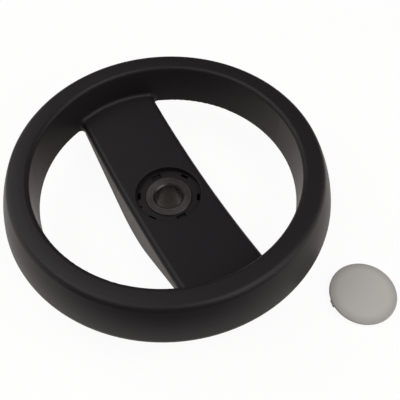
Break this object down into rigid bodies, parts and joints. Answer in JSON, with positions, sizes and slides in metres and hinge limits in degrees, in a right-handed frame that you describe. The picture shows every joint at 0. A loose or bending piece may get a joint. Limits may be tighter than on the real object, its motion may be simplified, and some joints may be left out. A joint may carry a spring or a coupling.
{
  "type": "machine handwheel",
  "caption": "Machine handwheel: a leaning rim and a dished cross bar in one moulding, a steel hub bush with a plain bore, and its snap-in hub cap set down beside it.",
  "frame": {"origin": "on the bore axis, at the hub's lower face, which is the surface that the wheel stands on", "axes": "+Z along the bore towards the operator, +Y along the cross bar, +X across it"},
  "size_m": [0.16, 0.182, 0.0479],
  "materials": {
    "black_plastic": "matt, fine moulded grain",
    "dark_steel": "turned, black oxide",
    "grey_plastic": "satin"
  },
  "bodies": {
    "root": {"wheel_body": "black_plastic", "hub_bush": "dark_steel", "hub_cap": "grey_plastic"}
  },
  "joints": []
}
